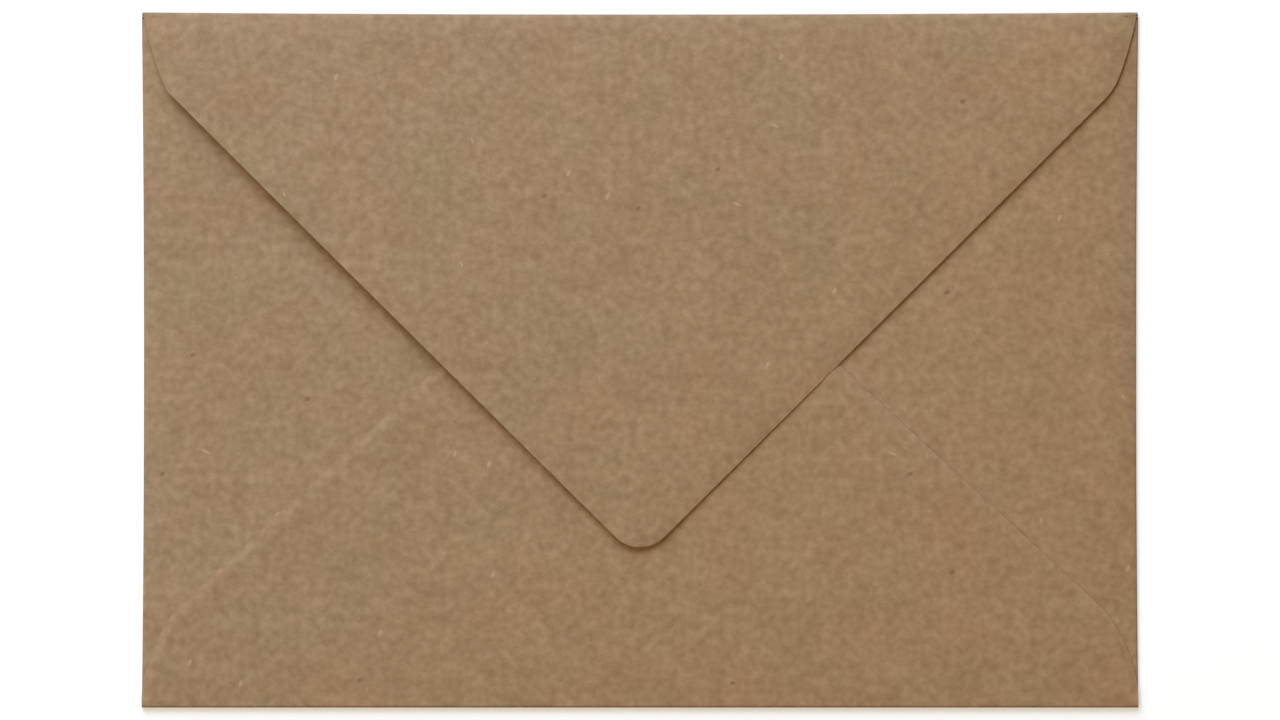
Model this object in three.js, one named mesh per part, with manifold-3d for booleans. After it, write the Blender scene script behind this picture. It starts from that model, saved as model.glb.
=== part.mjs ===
// Kraft envelope of the C6 class, lying on its address side with its pointed top flap folded shut.
// One die-cut sheet makes it all: an oblong front panel, two pointed side flaps, a bottom flap that is
// gummed down over them, and a top flap that closes over the mouth and isn't stuck down.
// Millimetres, +Z up. The origin is under the middle of the panel, with +X along the long side and +Y
// towards the top fold.
import * as THREE from 'three';
import { mergeVertices } from 'three/addons/utils/BufferGeometryUtils.js';
import Module from 'manifold-3d';

// Closed envelope and its paper
const LENGTH = 162; // along X, over the side folds
const HEIGHT = 113; // along Y, over the bottom and top folds
const PAPER = 0.18; // thickness of the kraft sheet
const FOLD_DRAW = 0.35; // how far a side or top fold draws in midway between its corners
const CORNER_NICK = 0.1; // how far each flap is cut back from the end of its fold line

// Air between the layers, from the panel up
const POCKET_GAP = 0.25; // panel to side flaps, beside their folds
const POCKET_CROWN = 0.5; // what the middle of the back stands off the panel beyond that
const GUM_FILM = 0.04; // side flaps to bottom flap, the thickness of the gum between them
const MOUTH_GAP = 0.15; // bottom flap to top flap, beside the top fold

// Top flap: curved shoulders, then straight edges to a rounded point
const TOP_SHOULDER_IN = 4.5; // in from the side of the envelope
const TOP_SHOULDER_DROP = 13.2; // down from the top fold
const TOP_SHOULDER_BULGE = 0.3; // how far the shoulder's edge stands out of a straight line
const TOP_SHOULDER_RADIUS = 2;
const TOP_POINT_DROP = 88.9; // top fold to the sharp point that the straight edges make
const TOP_POINT_RADIUS = 5.5;
const TOP_SPRING = 2.2; // how far the unstuck fold would open a far left corner at the point's level

// Bottom flap: long curved shoulders, then straight edges that are the diagonal seams
const BOTTOM_SHOULDER_IN = 7.8;
const BOTTOM_SHOULDER_RISE = 17.5; // up from the bottom fold
const BOTTOM_SHOULDER_BULGE = 2.2;
const BOTTOM_POINT_RISE = 85.6; // bottom fold to the sharp point, which the top flap hides
const BOTTOM_POINT_RADIUS = 20;

// Side flaps: under the bottom flap along the seams, and hidden by the top flap above
const SIDE_SHOULDER_IN = 7.8;
const SIDE_SHOULDER_DROP = 6.5; // down from the top fold, at the upper shoulder
const SIDE_SHOULDER_RADIUS = 3;
const SIDE_POINT_IN = 68; // side fold to the sharp point
const SIDE_POINT_RADIUS = 12;

// Diagonal seams: the bottom flap laps over the side flaps and is held by a strip of gum
const SEAM_LAP = 11; // how far a side flap runs in under the bottom flap's edge
const GUM_INSET = 1.5; // bare margin outside the gum
const GUM_WIDTH = 8;
const GUM_BITE = 0.02; // how far the gum soaks into the paper on each side

// The dies that cut each flap reach this far past the sheet
const DIE_MARGIN = 1;
const DIE_DEPTH = 10;

// Fineness of the folded sheet
const PITCH = 9; // longest step across a flap
const BEND_STEPS = 8; // steps round a fold
const ARC_STEPS = 10; // steps round a corner of an outline
const WELD = 1e-5; // corners nearer than this are one
const PANEL_BITE = CORNER_NICK / 2; // how far a flap and the panel run into each other
const SLIVER = 0.004; // edges shorter than this are closed up

const KRAFT = new THREE.MeshStandardMaterial({ color: 0x9c8164, roughness: 0.9, metalness: 0 });

// Radius of each fold at the middle of the paper: half of the height that its flap climbs
const SIDE_CLIMB = PAPER + POCKET_GAP;
const BOTTOM_CLIMB = SIDE_CLIMB + PAPER + GUM_FILM;
const TOP_CLIMB = BOTTOM_CLIMB + PAPER + MOUTH_GAP;
const SIDE_FOLD = SIDE_CLIMB / 2;
const BOTTOM_FOLD = BOTTOM_CLIMB / 2;
const TOP_FOLD = TOP_CLIMB / 2;
const outside = (fold) => fold + PAPER / 2;

const wasm = await Module();
wasm.setup();

function toSolid(geometry) {
  const bare = geometry.clone();
  bare.deleteAttribute('normal');
  bare.deleteAttribute('uv');
  const welded = mergeVertices(bare, WELD);
  return new wasm.Manifold(new wasm.Mesh({
    numProp: 3,
    vertProperties: new Float32Array(welded.attributes.position.array),
    triVerts: new Uint32Array(welded.index.array),
  }));
}

function toGeometry(solid) {
  const mesh = solid.getMesh();
  const geometry = new THREE.BufferGeometry();
  geometry.setAttribute('position', new THREE.BufferAttribute(mesh.vertProperties, 3));
  geometry.setIndex(new THREE.BufferAttribute(mesh.triVerts, 1));
  geometry.computeVertexNormals();
  return geometry;
}

// Soft shape of the closed envelope: 1 in the middle of a span, 0 at its ends
const belly = (place, span) => 1 - (2 * place / span) ** 2;
const crown = (x, y) => POCKET_CROWN * belly(x, LENGTH) * belly(y, HEIGHT);

// The top flap opens from its fold towards the point. Its left edge stands off, and the right lies close.
function spring(x, y) {
  const along = (HEIGHT / 2 - y) / TOP_POINT_DROP;
  const across = 0.5 - x / LENGTH;
  return TOP_SPRING * along * across ** 2;
}

// Where the paper's middle goes, for a length of paper from the start of a fold of this radius:
// flat on the panel, once round the fold, then back over the panel
function rollOver(run, fold) {
  const turn = THREE.MathUtils.clamp(run / fold, 0, Math.PI);
  const past = run < 0 ? -run : Math.max(run - Math.PI * fold, 0);
  return {
    inward: outside(fold) + past - fold * Math.sin(turn),
    height: PAPER / 2 + fold * (1 - Math.cos(turn)),
    faceIn: -Math.sin(turn),
    faceUp: -Math.cos(turn),
    free: run > Math.PI * fold,
  };
}

// A flap before it is cut: a sheet along one fold line. Its own u runs along the fold, and v inwards
// from the outside of the fold. The turn and the distance put it on its side of the envelope. It starts
// a little inside the panel, so that the two are one sheet.
function foldedSheet({ width, reach, fold, draw, turn, distance, lift }) {
  const bend = Math.PI * fold;
  const rows = Math.ceil(reach / PITCH);
  const runs = [-PANEL_BITE];
  for (let i = 0; i <= BEND_STEPS; i += 1) {
    runs.push(bend * i / BEND_STEPS);
  }
  for (let i = 1; i <= rows; i += 1) {
    runs.push(bend + reach * i / rows);
  }
  const place = new THREE.Matrix4().makeRotationZ(turn);
  place.multiply(new THREE.Matrix4().makeTranslation(0, -distance, 0));
  const sheet = new THREE.BoxGeometry(1, 1, 1, Math.ceil(width / PITCH), runs.length - 1, 1);
  const position = sheet.attributes.position;
  for (let i = 0; i < position.count; i += 1) {
    const u = width * position.getX(i);
    const row = Math.round((position.getY(i) + 0.5) * (runs.length - 1));
    const side = position.getZ(i) * PAPER;
    const at = rollOver(runs[row], fold);
    const point = new THREE.Vector3(u, at.inward + side * at.faceIn + draw * belly(u, width), 0);
    point.applyMatrix4(place);
    point.z = at.height + side * at.faceUp;
    if (at.free) {
      point.z += lift(point.x, point.y);
    }
    position.setXYZ(i, point.x, point.y, point.z);
  }
  return sheet;
}

// A closed outline through corners, counter-clockwise. Each corner may be rounded, and the edge that
// leads to it may stand out by a bulge.
function outline(corners) {
  const shape = new THREE.Shape();
  corners.forEach(({ x, y, radius = 0, bulge = 0 }, i) => {
    const at = new THREE.Vector2(x, y);
    const before = corners.at(i - 1);
    const after = corners[(i + 1) % corners.length];
    const back = new THREE.Vector2(before.x, before.y).sub(at).normalize();
    const on = new THREE.Vector2(after.x, after.y).sub(at).normalize();
    const half = Math.acos(back.dot(on)) / 2;
    const start = back.clone().multiplyScalar(radius / Math.tan(half)).add(at);
    if (i === 0) {
      shape.moveTo(start.x, start.y);
    } else {
      const pull = new THREE.Vector2(-back.y, back.x).multiplyScalar(2 * bulge);
      const middle = shape.currentPoint.clone().add(start).multiplyScalar(0.5).add(pull);
      shape.quadraticCurveTo(middle.x, middle.y, start.x, start.y);
    }
    if (radius > 0) {
      const centre = back.clone().add(on).normalize().multiplyScalar(radius / Math.sin(half)).add(at);
      const end = on.clone().multiplyScalar(radius / Math.tan(half)).add(at);
      const from = start.clone().sub(centre).angle();
      const to = end.clone().sub(centre).angle();
      shape.absarc(centre.x, centre.y, radius, from, to, false);
    }
  });
  return shape;
}

function die(corners) {
  const prism = new THREE.ExtrudeGeometry(outline(corners), {
    depth: DIE_DEPTH,
    bevelEnabled: false,
    curveSegments: ARC_STEPS,
  });
  prism.translate(0, 0, -DIE_DEPTH / 2);
  return toSolid(prism);
}

// The same corners on the other side of the envelope
const mirrored = (corners) => corners.map((corner) => ({ ...corner, x: -corner.x })).reverse();

const right = LENGTH / 2;
const top = HEIGHT / 2;
const foldEnd = right - CORNER_NICK;

// Front panel: flat on what it lies on, from the start of one fold to the start of the next
function panel() {
  const sideLine = right - outside(SIDE_FOLD);
  const topLine = top - outside(TOP_FOLD);
  const bottomLine = outside(BOTTOM_FOLD) - top;
  const sheet = new THREE.BoxGeometry(
    LENGTH, HEIGHT, PAPER, Math.ceil(LENGTH / PITCH), Math.ceil(HEIGHT / PITCH), 1,
  );
  sheet.translate(0, 0, PAPER / 2);
  const position = sheet.attributes.position;
  for (let i = 0; i < position.count; i += 1) {
    const x = THREE.MathUtils.clamp(position.getX(i), -sideLine, sideLine);
    const y = THREE.MathUtils.clamp(position.getY(i), bottomLine, topLine);
    const sideDraw = FOLD_DRAW * belly(position.getY(i), HEIGHT) * x / sideLine;
    const topDraw = FOLD_DRAW * belly(position.getX(i), LENGTH) * Math.max(y, 0) / topLine;
    position.setXY(i, x - sideDraw, y - topDraw);
  }
  return toSolid(sheet);
}

// Top flap: two shoulders and a rounded point, sprung a little open
function topFlap() {
  const foldEdge = top - outside(TOP_FOLD);
  const shoulder = right - TOP_SHOULDER_IN;
  const shoulderY = top - TOP_SHOULDER_DROP;
  const sheet = foldedSheet({
    width: LENGTH,
    reach: TOP_POINT_DROP,
    fold: TOP_FOLD,
    draw: FOLD_DRAW,
    turn: Math.PI,
    distance: top,
    lift: (x, y) => crown(x, y) + spring(x, y),
  });
  const cut = die([
    { x: foldEnd, y: top + DIE_MARGIN },
    { x: -foldEnd, y: top + DIE_MARGIN },
    { x: -foldEnd, y: foldEdge },
    { x: -shoulder, y: shoulderY, radius: TOP_SHOULDER_RADIUS, bulge: TOP_SHOULDER_BULGE },
    { x: 0, y: top - TOP_POINT_DROP, radius: TOP_POINT_RADIUS },
    { x: shoulder, y: shoulderY, radius: TOP_SHOULDER_RADIUS },
    { x: foldEnd, y: foldEdge, bulge: TOP_SHOULDER_BULGE },
  ]);
  return toSolid(sheet).intersect(cut);
}

// The diagonal seam on the right, which is the bottom flap's straight edge. The lap is a distance
// square to it, in under the bottom flap.
const seamStart = new THREE.Vector2(right - BOTTOM_SHOULDER_IN, BOTTOM_SHOULDER_RISE - top);
const seamEnd = new THREE.Vector2(0, BOTTOM_POINT_RISE - top);
const seamRun = seamEnd.clone().sub(seamStart).normalize();

function seamPoint(x, lap) {
  const y = seamStart.y + (x - seamStart.x) * seamRun.y / seamRun.x;
  return { x, y: y - lap / Math.abs(seamRun.x) };
}

// Bottom flap: long curved shoulders and straight seams, with its rounded point under the top flap
function bottomFlap() {
  const foldEdge = outside(BOTTOM_FOLD) - top;
  const sheet = foldedSheet({
    width: LENGTH,
    reach: BOTTOM_POINT_RISE,
    fold: BOTTOM_FOLD,
    draw: 0,
    turn: 0,
    distance: top,
    lift: crown,
  });
  const cut = die([
    { x: -foldEnd, y: -top - DIE_MARGIN },
    { x: foldEnd, y: -top - DIE_MARGIN },
    { x: foldEnd, y: foldEdge },
    { x: seamStart.x, y: seamStart.y, bulge: BOTTOM_SHOULDER_BULGE },
    { x: seamEnd.x, y: seamEnd.y, radius: BOTTOM_POINT_RADIUS },
    { x: -seamStart.x, y: seamStart.y },
    { x: -foldEnd, y: foldEdge, bulge: BOTTOM_SHOULDER_BULGE },
  ]);
  return toSolid(sheet).intersect(cut);
}

// Side flap: its lower edge runs along the seam inside the lap, up to a rounded point. The upper edge
// comes back to the side fold under the top flap.
function sideFlap(side) {
  const foldEdge = right - outside(SIDE_FOLD);
  const low = outside(BOTTOM_FOLD) + CORNER_NICK - top;
  const high = top - outside(TOP_FOLD) - CORNER_NICK;
  const shoulder = right - SIDE_SHOULDER_IN;
  const sheet = foldedSheet({
    width: HEIGHT,
    reach: SIDE_POINT_IN,
    fold: SIDE_FOLD,
    draw: FOLD_DRAW,
    turn: side * Math.PI / 2,
    distance: right,
    lift: crown,
  });
  const corners = [
    { x: right + DIE_MARGIN, y: low },
    { x: right + DIE_MARGIN, y: high },
    { x: foldEdge, y: high },
    { x: shoulder, y: top - SIDE_SHOULDER_DROP, radius: SIDE_SHOULDER_RADIUS },
    { ...seamPoint(right - SIDE_POINT_IN, SEAM_LAP), radius: SIDE_POINT_RADIUS },
    { ...seamPoint(shoulder, SEAM_LAP), radius: SIDE_SHOULDER_RADIUS },
    { x: foldEdge, y: low },
  ];
  return toSolid(sheet).intersect(die(side > 0 ? corners : mirrored(corners)));
}

// Gum of one seam: a film between the side flap and the bottom flap, soaked a little into both
function seamGum(side) {
  const film = GUM_FILM + 2 * GUM_BITE;
  const height = PAPER + SIDE_CLIMB + GUM_FILM / 2;
  const sheet = new THREE.BoxGeometry(
    LENGTH, HEIGHT, film, Math.ceil(LENGTH / PITCH), Math.ceil(HEIGHT / PITCH), 1,
  );
  const position = sheet.attributes.position;
  for (let i = 0; i < position.count; i += 1) {
    position.setZ(i, position.getZ(i) + height + crown(position.getX(i), position.getY(i)));
  }
  const far = right - SIDE_POINT_IN + SIDE_POINT_RADIUS;
  const corners = [
    seamPoint(far, GUM_INSET),
    seamPoint(far, GUM_INSET + GUM_WIDTH),
    seamPoint(seamStart.x, GUM_INSET + GUM_WIDTH),
    seamPoint(seamStart.x, GUM_INSET),
  ];
  return toSolid(sheet).intersect(die(side > 0 ? corners : mirrored(corners)));
}

// The blank is one sheet, so its panel, flaps and gummed seams are one solid
let folded = panel();
for (const side of [1, -1]) {
  folded = folded.add(sideFlap(side)).add(seamGum(side));
}
folded = folded.add(bottomFlap()).add(topFlap()).simplify(SLIVER);

const envelope = new THREE.Mesh(toGeometry(folded), KRAFT);
envelope.name = 'envelope';

const model = new THREE.Group();
model.add(envelope);
export default model;
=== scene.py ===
import math

import bmesh
import bpy
from mathutils import Matrix, Vector, geometry, noise


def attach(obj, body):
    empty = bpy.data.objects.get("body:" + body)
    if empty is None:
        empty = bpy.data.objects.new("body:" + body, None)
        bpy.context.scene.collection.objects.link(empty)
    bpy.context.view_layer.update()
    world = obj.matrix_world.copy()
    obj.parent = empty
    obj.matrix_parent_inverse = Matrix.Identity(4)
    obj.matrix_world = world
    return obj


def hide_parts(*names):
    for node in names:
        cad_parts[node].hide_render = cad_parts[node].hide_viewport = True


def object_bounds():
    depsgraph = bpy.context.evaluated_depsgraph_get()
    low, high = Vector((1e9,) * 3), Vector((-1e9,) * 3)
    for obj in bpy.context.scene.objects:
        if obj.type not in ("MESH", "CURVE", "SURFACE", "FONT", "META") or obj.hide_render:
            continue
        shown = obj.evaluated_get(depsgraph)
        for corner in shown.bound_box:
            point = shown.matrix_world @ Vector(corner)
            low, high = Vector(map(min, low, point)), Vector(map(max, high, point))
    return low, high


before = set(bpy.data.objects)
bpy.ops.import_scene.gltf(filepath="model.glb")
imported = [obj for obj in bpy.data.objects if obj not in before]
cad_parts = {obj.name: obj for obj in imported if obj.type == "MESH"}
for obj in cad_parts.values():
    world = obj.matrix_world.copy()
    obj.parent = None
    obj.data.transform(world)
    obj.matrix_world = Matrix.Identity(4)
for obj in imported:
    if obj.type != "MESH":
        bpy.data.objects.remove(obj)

cad_low, cad_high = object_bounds()
scene = bpy.context.scene


# The camera looks straight down on the closed envelope from a metre up, with the long side level.
# The photograph is 208 mm wide at the paper.
view_width = 0.2082
camera_height = 1.0
sensor_width = 36

camera_data = bpy.data.cameras.new("camera")
camera_data.sensor_width = sensor_width
camera_data.lens = sensor_width * camera_height / view_width
camera = bpy.data.objects.new("camera", camera_data)
camera.location = (0, 0, camera_height)
scene.collection.objects.link(camera)
scene.camera = camera


# The blank: one sheet of brown kraft paper, die-cut flat. The panel in the middle becomes the front
# of the envelope, and a flap stands out over each of its four folds. Each fold is a half turn that
# climbs over the layers that are folded before it.
length = cad_high[0] - cad_low[0]
height = cad_high[1] - cad_low[1]
right = length / 2
top = height / 2
paper = 0.00018
corner_nick = 0.00002
same_place = 1e-7

# How far each flap climbs as it folds: over the layers before it, with a little air
side_climb = paper + 0.00025
bottom_climb = side_climb + paper + 0.00004
top_climb = bottom_climb + paper + 0.00015

# A side or top fold draws in midway between its corners. The bottom fold is straight and springs
# over a longer reach.
fold_draw = 0.00035
crisp_reach = 0.002
loose_reach = 0.008


class Fold:
    """One fold line. Its quarter turns are those that bring the bottom fold to its side. The paper
    past it springs up softly, over a reach in from the fold."""

    def __init__(self, quarters, climb, distance, span, draw, reach):
        self.turn = Matrix.Rotation(quarters * math.pi / 2, 2)
        self.back = self.turn.transposed()
        self.outside = (climb + paper) / 2
        self.bend = math.pi * climb / 2
        self.distance = distance
        self.span = span
        self.draw = draw
        self.reach = reach
        self.cut = []

    def at_run(self, u, run):
        """The point of the blank that is this far along the fold, and out past its start."""
        return self.turn @ Vector((u, self.outside - self.distance - run))

    def flat(self, x, y):
        """The point of the blank that lies at this place of the closed flap."""
        u, w = self.back @ Vector((x, y))
        return self.at_run(u, self.bend + w + self.distance - self.outside)

    def run(self, x, y):
        """How far out past the start of the fold a point of the blank lies."""
        return self.outside - self.distance - (self.back @ Vector((x, y))).y


bottom_fold = Fold(0, bottom_climb, top, length, 0, loose_reach)
right_fold = Fold(1, side_climb, right, height, fold_draw, crisp_reach)
top_fold = Fold(2, top_climb, top, length, fold_draw, crisp_reach)
left_fold = Fold(3, side_climb, right, height, fold_draw, crisp_reach)
folds = (right_fold, left_fold, bottom_fold, top_fold)

blank = bmesh.new()


def corner(x, y):
    return blank.verts.new((x, y, 0))


# The panel, nicked at its corners so that two folds never share a point
fold_end = right - corner_nick
side_line = right - right_fold.outside
side_low = bottom_fold.outside + corner_nick - top
side_high = top - top_fold.outside - corner_nick
panel_corners = [
    corner(-fold_end, bottom_fold.outside - top), corner(fold_end, bottom_fold.outside - top),
    corner(side_line, side_low), corner(side_line, side_high),
    corner(fold_end, top - top_fold.outside), corner(-fold_end, top - top_fold.outside),
    corner(-side_line, side_high), corner(-side_line, side_low),
]
blank.faces.new(panel_corners)


def cut_flap(fold, first, points, rings=()):
    """Cut a flap's outline from its two panel corners. Each point has the length of edge that its
    rounding takes, on each side, and rings are the widths of the rings scored inside the edge."""
    ends = panel_corners[first:first + 2]
    cut = [corner(*fold.flat(x, y)) for x, y, _ in points]
    blank.faces.new(ends + cut)
    for vertex, (_, _, tangent) in zip(cut, points):
        if tangent:
            bmesh.ops.bevel(
                blank, geom=[vertex], affect="VERTICES", offset=tangent, offset_type="OFFSET",
                segments=12, profile=0.5, material=-1,
            )
    faces = ends[0].link_faces
    face = max(faces, key=lambda each: fold.run(*each.calc_center_median().to_2d()))
    fold.cut = [vertex.co.copy() for vertex in face.verts]
    for width in rings:
        bmesh.ops.inset_individual(blank, faces=[face], thickness=width, use_even_offset=True)


def bulged(start, end, bulge):
    """The corner that a curved edge would have if it were straight on both sides of its middle."""
    along = end - start
    outwards = Vector((along.y, -along.x)).normalized()
    return (start + end) / 2 + outwards * 2 * bulge


edge_rings = (0.0002, 0.0004, 0.0006, 0.0008)

# Top flap: slightly curved shoulders, then straight edges at 45 degrees to a rounded point. The
# right shoulder is rounder than the left one.
top_shoulder = Vector((right - 0.0042, top - 0.0129))
top_point_drop = 0.0889
top_curve = bulged(top_shoulder, Vector((fold_end, top - top_fold.outside)), 0.0003)
top_curve_round = 0.006
left_shoulder_round = 0.0005
right_shoulder_round = 0.0018
top_point_round = 0.0055
cut_flap(top_fold, 4, [
    (-top_curve.x, top_curve.y, top_curve_round),
    (-top_shoulder.x, top_shoulder.y, left_shoulder_round),
    (0, top - top_point_drop, top_point_round),
    (top_shoulder.x, top_shoulder.y, right_shoulder_round),
    (top_curve.x, top_curve.y, top_curve_round),
], edge_rings)

# Bottom flap: long curved shoulders, then the straight seams to a point that stays hidden
seam_start = Vector((right - 0.0078, 0.0175 - top))
seam_point = Vector((0, 0.0856 - top))
bottom_curve = bulged(Vector((fold_end, bottom_fold.outside - top)), seam_start, 0.0022)
bottom_curve_round = 0.0095
seam_point_round = 0.0186
cut_flap(bottom_fold, 0, [
    (bottom_curve.x, bottom_curve.y, bottom_curve_round),
    (seam_point.x, seam_point.y, seam_point_round),
    (-bottom_curve.x, bottom_curve.y, bottom_curve_round),
], edge_rings)

# Side flaps: they run in under the bottom flap by the lap of the seam
seam_lap = 0.011
seam_run = (seam_point - seam_start).normalized()
side_shoulder = seam_start.x
side_shoulder_drop = 0.0065
side_shoulder_round = 0.0005
side_reach = right - 0.068
side_point_round = 0.0136


def under_seam(x):
    return seam_start.y + (x - seam_start.x) * seam_run.y / seam_run.x - seam_lap / abs(seam_run.x)


for fold, first, side in ((right_fold, 2, 1), (left_fold, 6, -1)):
    points = [
        (side * side_shoulder, top - side_shoulder_drop, side_shoulder_round),
        (side * side_reach, under_seam(side_reach), side_point_round),
        (side * side_shoulder, under_seam(side_shoulder), side_shoulder_round),
    ]
    cut_flap(fold, first, points if side > 0 else points[::-1])

# The sheet is scored finely, so that it can bend: round each fold, close by it, and all over
bend_steps = 8
close_rows = (0.0004, 0.0009, 0.0016, 0.0026)
pitch = 0.0015


def score(place, across):
    everything = blank.verts[:] + blank.edges[:] + blank.faces[:]
    bmesh.ops.bisect_plane(
        blank, geom=everything, dist=same_place, plane_co=place.to_3d(), plane_no=across.to_3d(),
    )


for fold in folds:
    runs = [fold.bend * step / bend_steps for step in range(1, bend_steps + 1)]
    for near in close_rows:
        runs += [fold.bend + near, -near]
    for run in runs:
        score(fold.at_run(0, run), fold.turn @ Vector((0, 1)))
for axis in (0, 1):
    across = Vector((1 - axis, axis))
    reach = max(abs(vertex.co[axis]) for vertex in blank.verts)
    steps = int(reach / pitch)
    for step in range(-steps, steps + 1):
        score(across * step * pitch, across)
for face in blank.faces:
    face.normal_update()
    if face.normal.z > 0:
        face.normal_flip()


# Folding: the side flaps go in first, then the bottom flap, then the top flap. The layers of the back
# rise softly from every fold, because the creased paper springs. The unstuck top flap opens towards
# its point, so that its left edge stands off, and its right margin curls down to the layers below.
soft_rise = 0.0004
crown_rise = 0.0006
cockle = 0.0002
cockle_size = 0.022
top_spring = 0.0056
top_bow = 0.0003
margin_curl = 0.0002
curl_width = 0.0035
gum_ridge = 0.00025
ridge_width = 0.0015
ridge_fade = 0.004


def belly(place, span):
    """1 in the middle of a span, and 0 at its ends."""
    return 1 - (2 * place / span) ** 2


def risen(inset, fold=right_fold):
    """How much of the soft rise there is this far in from a fold."""
    return 1 - math.exp(-max(inset, 0) / fold.reach)


def back_lift(x, y):
    """What the layers of the back stand above the height of their folds."""
    side = side_line - fold_draw * belly(y, height) - abs(x)
    above = top - top_fold.outside - fold_draw * belly(x, length) - y
    below = y + top - bottom_fold.outside
    soft = soft_rise * risen(side) * risen(above, top_fold) * risen(below, bottom_fold)
    wave = cockle * noise.noise(Vector((x, y, 0)) / cockle_size)
    return soft + (crown_rise + wave) * belly(x, length) * belly(y, height)


def edge_distance(fold, place):
    """How far a point of the blank is from the cut edge of its flap, and where across that edge is."""
    nearest = []
    for start, end in zip(fold.cut[1:], fold.cut[2:] + fold.cut[:1]):
        _, share = geometry.intersect_point_line(place, start, end)
        foot = start.lerp(end, min(max(share, 0), 1))
        nearest.append(((foot - place).length, foot.x))
    return min(nearest)


def bowed(along):
    """A bow that is highest, 1, a quarter of the way along."""
    return along * (1 - along) ** 3 * 256 / 27


def top_lift(x, y, place):
    """What the top flap stands above the layers of the back, or curls down to them."""
    along = (top - y) / top_point_drop
    leftward = 0.5 - x / length
    edge, side = edge_distance(top_fold, place)
    curl = margin_curl * max(1 - edge / curl_width, 0) ** 2 if side > 0 else 0
    return top_spring * along * leftward ** 3 + top_bow * bowed(along) - curl


def seam_lift(place):
    """The margin of the bottom flap runs up from its cut edge to the strip of gum."""
    edge, _ = edge_distance(bottom_fold, place)
    if edge < ridge_width:
        return gum_ridge * (3 - 2 * edge / ridge_width) * (edge / ridge_width) ** 2
    return gum_ridge * math.exp(-(edge - ridge_width) / ridge_fade)


def close(place):
    """Where a point of the blank's outer face lies on the closed envelope."""
    x, y = place.x, place.y
    fold = max(folds, key=lambda each: each.run(x, y))
    run = fold.run(x, y)
    if run < same_place:
        side_draw = fold_draw * belly(y, height) * x / right
        top_draw = fold_draw * belly(x, length) * max(y, 0) / top
        return Vector((x - side_draw, y - top_draw, 0))
    u = (fold.back @ Vector((x, y))).x
    lean = soft_rise / fold.reach * risen(fold.span / 2 - abs(u))
    angle = min(run / fold.bend, 1) * (math.pi - lean)
    past = max(run - fold.bend, 0)
    inward = fold.outside + past - fold.outside * math.sin(angle) + fold.draw * belly(u, fold.span)
    closed = (fold.turn @ Vector((u, inward - fold.distance))).to_3d()
    closed.z = fold.outside * (1 - math.cos(angle))
    if past > 0:
        closed.z += back_lift(closed.x, closed.y)
        if fold is top_fold:
            closed.z += top_lift(closed.x, closed.y, place)
        if fold is bottom_fold:
            closed.z += seam_lift(place) * risen(past)
    return closed


# While the sheet is flat, its places are kept for the pattern of the paper, and the margin along
# the cut edge of the bottom flap is marked for paler fibres and a painted highlight. Then it is
# folded and given the paper's thickness.
blank_width = 0.3
pale_width = 0.0005
sharp_angle = math.radians(40)

flat_places = blank.loops.layers.uv.new("blank")
for face in blank.faces:
    for loop in face.loops:
        loop[flat_places].uv = (loop.vert.co.to_2d() / blank_width) + Vector((0.5, 0.5))
cut_and_highlight_margin = blank.verts.layers.float.new("cut_and_highlight_margin")
for vertex in blank.verts:
    place = vertex.co.copy()
    if bottom_fold.run(place.x, place.y) > bottom_fold.bend:
        edge, _ = edge_distance(bottom_fold, place)
        vertex[cut_and_highlight_margin] = max(1 - edge / pale_width, 0)
    vertex.co = close(place)
bmesh.ops.solidify(blank, geom=blank.faces[:], thickness=paper)
blank.normal_update()
for face in blank.faces:
    face.smooth = True
for edge in blank.edges:
    edge.smooth = edge.is_manifold and edge.calc_face_angle() < sharp_angle

sheet = bpy.data.meshes.new("folded_sheet")
blank.to_mesh(sheet)
blank.free()
envelope = bpy.data.objects.new("folded_sheet", sheet)
scene.collection.objects.link(envelope)


# Kraft paper: unbleached brown fibre, matte, mottled where the fibre flocks, with a few pale shives
# and dark specks. The pattern follows the sheet, so each layer shows its own stretch of it.
kraft = bpy.data.materials.new("kraft_paper")
kraft.use_nodes = True
nodes = kraft.node_tree.nodes
links = kraft.node_tree.links
shader = nodes["Principled BSDF"]
shader.inputs["Roughness"].default_value = 0.9
shader.inputs["Specular IOR Level"].default_value = 0.25

sheet_map = nodes.new("ShaderNodeUVMap")
sheet_map.uv_map = "blank"


def in_millimetres(turn=0.0, stretch=(1, 1)):
    """The place on the sheet in millimetres, turned and stretched for one layer of fibre."""
    mapping = nodes.new("ShaderNodeMapping")
    mapping.vector_type = "TEXTURE"
    mapping.inputs["Rotation"].default_value = (0, 0, turn)
    unit = 1 / (blank_width * 1000)
    mapping.inputs["Scale"].default_value = (unit * stretch[0], unit * stretch[1], 1)
    links.new(sheet_map.outputs["UV"], mapping.inputs["Vector"])
    return mapping.outputs["Vector"]


def flock(size, detail=1.0, turn=0.0, stretch=(1, 1)):
    """Noise with lumps of this size in millimetres."""
    texture = nodes.new("ShaderNodeTexNoise")
    texture.inputs["Scale"].default_value = 1 / size
    texture.inputs["Detail"].default_value = detail
    links.new(in_millimetres(turn, stretch), texture.inputs["Vector"])
    return texture.outputs["Fac"]


def ramp(value, stops):
    """A colour ramp from a list of places and colours."""
    node = nodes.new("ShaderNodeValToRGB")
    elements = node.color_ramp.elements
    while len(elements) < len(stops):
        elements.new(0.5)
    for element, (place, colour) in zip(elements, stops):
        element.position = place
        element.color = (*colour, 1)
    links.new(value, node.inputs["Fac"])
    return node.outputs["Color"]


def shade(value, spread):
    """Shades that multiply the colour: darker and redder, to lighter and paler, by the spread."""
    low, high = ([1 + sign * spread * part for part in (0.84, 1, 1.25)] for sign in (-1, 1))
    return ramp(value, [(0.25, low), (0.75, high)])


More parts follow.
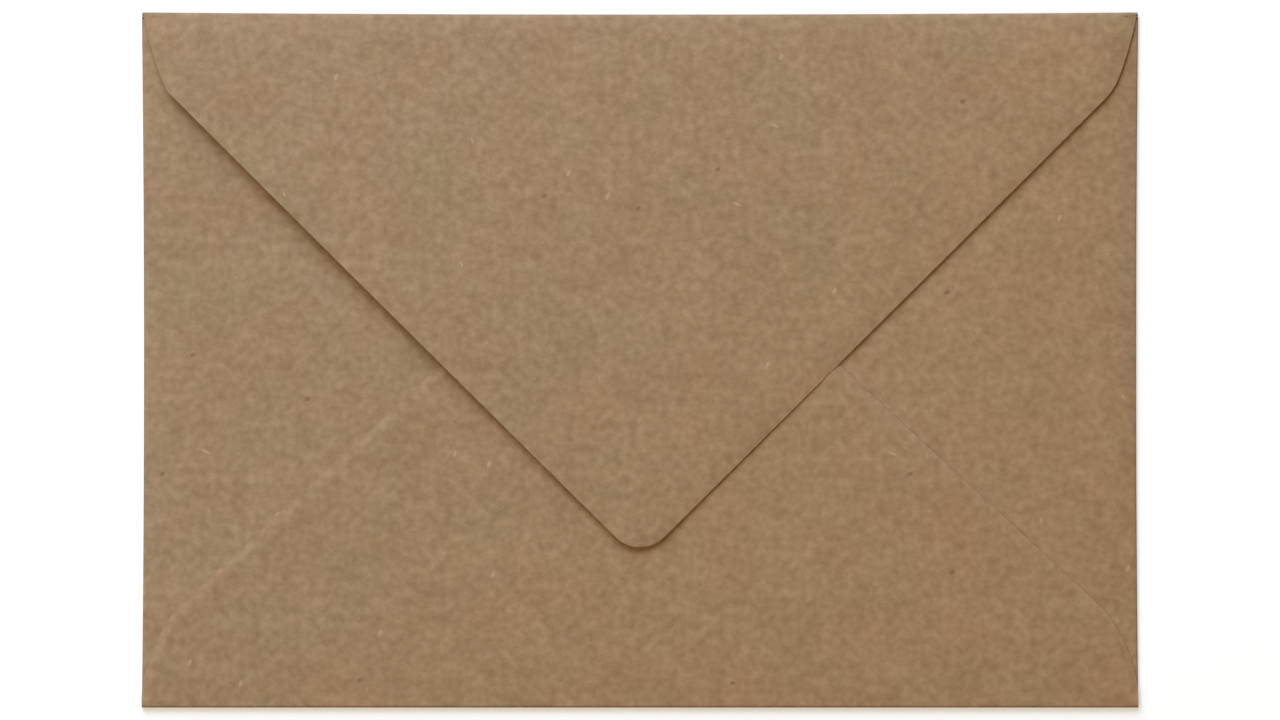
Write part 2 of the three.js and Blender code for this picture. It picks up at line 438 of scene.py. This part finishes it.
def blend(kind, under, over, amount=1.0):
    """Lay one colour over another, by a fixed amount or by one that varies over the sheet."""
    node = nodes.new("ShaderNodeMix")
    node.data_type = "RGBA"
    node.blend_type = kind
    links.new(under, node.inputs["A"])
    links.new(over, node.inputs["B"])
    if isinstance(amount, float):
        node.inputs["Factor"].default_value = amount
    else:
        links.new(amount, node.inputs["Factor"])
    return node.outputs["Result"]


# The pulp is a little greener here and redder there, over a centimetre or two. The flocks of fibre
# are darker and lighter lumps, and three layers of single fibres cross each other.
kraft_green = (0.325, 0.223, 0.126)
kraft_mid = (0.334, 0.221, 0.127)
kraft_red = (0.343, 0.218, 0.126)
pulp_size = 14.0
fibre_width = 0.18
fibre_stretch = (1, 8)
fibre_spread = 0.035

colour = ramp(flock(pulp_size, 3.0), [(0.35, kraft_green), (0.5, kraft_mid), (0.65, kraft_red)])
for size, spread in ((9.0, 0.05), (2.6, 0.095), (1.3, 0.105), (0.5, 0.03)):
    colour = blend("MULTIPLY", colour, shade(flock(size), spread))
for turn in (0.5, 1.4, 2.3):
    fibre = flock(fibre_width, 1.0, turn, fibre_stretch)
    colour = blend("MULTIPLY", colour, shade(fibre, fibre_spread))

# Shives are short pale fibres, and specks are dark bits of bark. A share of the cells of a scattered
# grid holds one each.
fleck_share = 0.17
fleck_strength = 0.7
black = (0, 0, 0)
white = (1, 1, 1)


def flecks(spacing, width, turn, stretch):
    """Flecks of this width at this spacing in millimetres, all drawn out one way."""
    cells = nodes.new("ShaderNodeTexVoronoi")
    cells.voronoi_dimensions = "2D"
    cells.inputs["Scale"].default_value = 1 / spacing
    links.new(in_millimetres(turn, stretch), cells.inputs["Vector"])
    share = width / spacing
    near = ramp(cells.outputs["Distance"], [(share / 2, (fleck_strength,) * 3), (share, black)])
    chosen = ramp(cells.outputs["Color"], [(fleck_share, white), (fleck_share + 0.01, black)])
    return blend("MULTIPLY", near, chosen)


def plain(red, green, blue):
    node = nodes.new("ShaderNodeRGB")
    node.outputs[0].default_value = (red, green, blue, 1)
    return node.outputs[0]


pale = plain(0.48, 0.355, 0.23)
dark = plain(0.19, 0.115, 0.06)
shives = (
    (8.0, 0.36, 0.4, (1, 2)),
    (7.0, 0.24, 2.0, (1, 4)),
    (6.0, 0.2, 2.9, (1, 3)),
)
for spacing, width, turn, stretch in shives:
    colour = blend("MIX", colour, pale, flecks(spacing, width, turn, stretch))
colour = blend("MIX", colour, dark, flecks(9.0, 0.4, 1.1, (1, 1.5)))

# The cut edge of the bottom flap is a little paler, where the blade has roughened the fibres, and
# the same margin carries a painted highlight, where the seam's edge would catch the light
margin = nodes.new("ShaderNodeAttribute")
margin.attribute_name = "cut_and_highlight_margin"
pale_and_highlight = nodes.new("ShaderNodeMath")
pale_and_highlight.operation = "MULTIPLY"
pale_and_highlight.inputs[1].default_value = 0.08
links.new(margin.outputs["Fac"], pale_and_highlight.inputs[0])
colour = blend("MIX", colour, pale, pale_and_highlight.outputs[0])

# Painted shade: the sheet is a little darker and more brown towards the lower right of the closed
# envelope, where less light falls on it
painted_shade_way = (4.1, -3.1, 0)
painted_shade_middle = 0.5
object_place = nodes.new("ShaderNodeTexCoord")
across_sheet = nodes.new("ShaderNodeVectorMath")
across_sheet.operation = "DOT_PRODUCT"
across_sheet.inputs[1].default_value = painted_shade_way
links.new(object_place.outputs["Object"], across_sheet.inputs[0])
painted_shade_place = nodes.new("ShaderNodeMath")
painted_shade_place.operation = "ADD"
painted_shade_place.inputs[1].default_value = painted_shade_middle
links.new(across_sheet.outputs["Value"], painted_shade_place.inputs[0])
painted_shade = ramp(painted_shade_place.outputs[0], [(0.25, white), (0.9, (1, 0.93, 0.84))])
links.new(blend("MULTIPLY", colour, painted_shade), shader.inputs["Base Color"])

# The surface is felted: low lumps, under a tenth of a millimetre
relief = nodes.new("ShaderNodeBump")
relief.inputs["Strength"].default_value = 0.2
relief.inputs["Distance"].default_value = 0.00004
links.new(flock(0.8, 2.0), relief.inputs["Height"])
links.new(relief.outputs["Normal"], shader.inputs["Normal"])

sheet.materials.append(kraft)
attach(envelope, "root")
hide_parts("envelope")


# A white table that the envelope lies on. Its own white glow, which only the camera, mirrors and
# glass see, brings it up to the white of the photograph, and the envelope's shadow stays on it.
table_width = 3.0
table_drop = 0.00002
table_white = 0.7
table_glow = 0.36

table = bpy.data.meshes.new("table")
surface = bmesh.new()
bmesh.ops.create_grid(surface, x_segments=1, y_segments=1, size=table_width / 2)
bmesh.ops.translate(surface, verts=surface.verts[:], vec=(0, 0, -table_drop))
surface.to_mesh(table)
surface.free()
floor = bpy.data.objects.new("table", table)
scene.collection.objects.link(floor)

lacquer = bpy.data.materials.new("white_table")
lacquer.use_nodes = True
lacquer_nodes = lacquer.node_tree.nodes
lacquer_links = lacquer.node_tree.links
lacquer_shader = lacquer_nodes["Principled BSDF"]
lacquer_shader.inputs["Base Color"].default_value = (table_white, table_white, table_white, 1)
lacquer_shader.inputs["Roughness"].default_value = 0.9
lacquer_shader.inputs["Emission Color"].default_value = (1, 1, 1, 1)


def table_maths(operation, first, second):
    """One step of arithmetic in the table's material, on outputs or plain values."""
    node = lacquer_nodes.new("ShaderNodeMath")
    node.operation = operation
    for socket, value in zip(node.inputs, (first, second)):
        if isinstance(value, float):
            socket.default_value = value
        else:
            lacquer_links.new(value, socket)
    return node.outputs[0]


seen = lacquer_nodes.new("ShaderNodeLightPath").outputs
directly = table_maths("MAXIMUM", seen["Is Camera Ray"], seen["Is Glossy Ray"])
either_way = table_maths("MAXIMUM", directly, seen["Is Transmission Ray"])
glow = table_maths("MULTIPLY", either_way, table_glow)
lacquer_links.new(glow, lacquer_shader.inputs["Emission Strength"])
table.materials.append(lacquer)


# The light: a large softbox beyond the top of the envelope, which throws the soft shadows of its
# edges, a weaker warm one overhead, and the faint warm light of the room.
world = bpy.data.worlds.new("studio")
world.use_nodes = True
room = world.node_tree.nodes["Background"]
room.inputs["Color"].default_value = (1, 0.78, 0.38, 1)
room.inputs["Strength"].default_value = 0.15
scene.world = world


def softbox(name, place, size, power, colour):
    lamp_data = bpy.data.lights.new(name, "AREA")
    lamp_data.shape = "SQUARE"
    lamp_data.size = size
    lamp_data.energy = power
    lamp_data.color = colour
    lamp = bpy.data.objects.new(name, lamp_data)
    lamp.location = place
    lamp.rotation_euler = Vector(place).to_track_quat("Z", "Y").to_euler()
    scene.collection.objects.link(lamp)


softbox("key", (-0.5, 1.53, 1.18), 1.5, 60.0, (0.659, 0.788, 1.0))
softbox("fill", (-0.8, -0.6, 2.1), 2.0, 23.6, (1, 0.79, 0.46))

scene.view_settings.view_transform = "Standard"
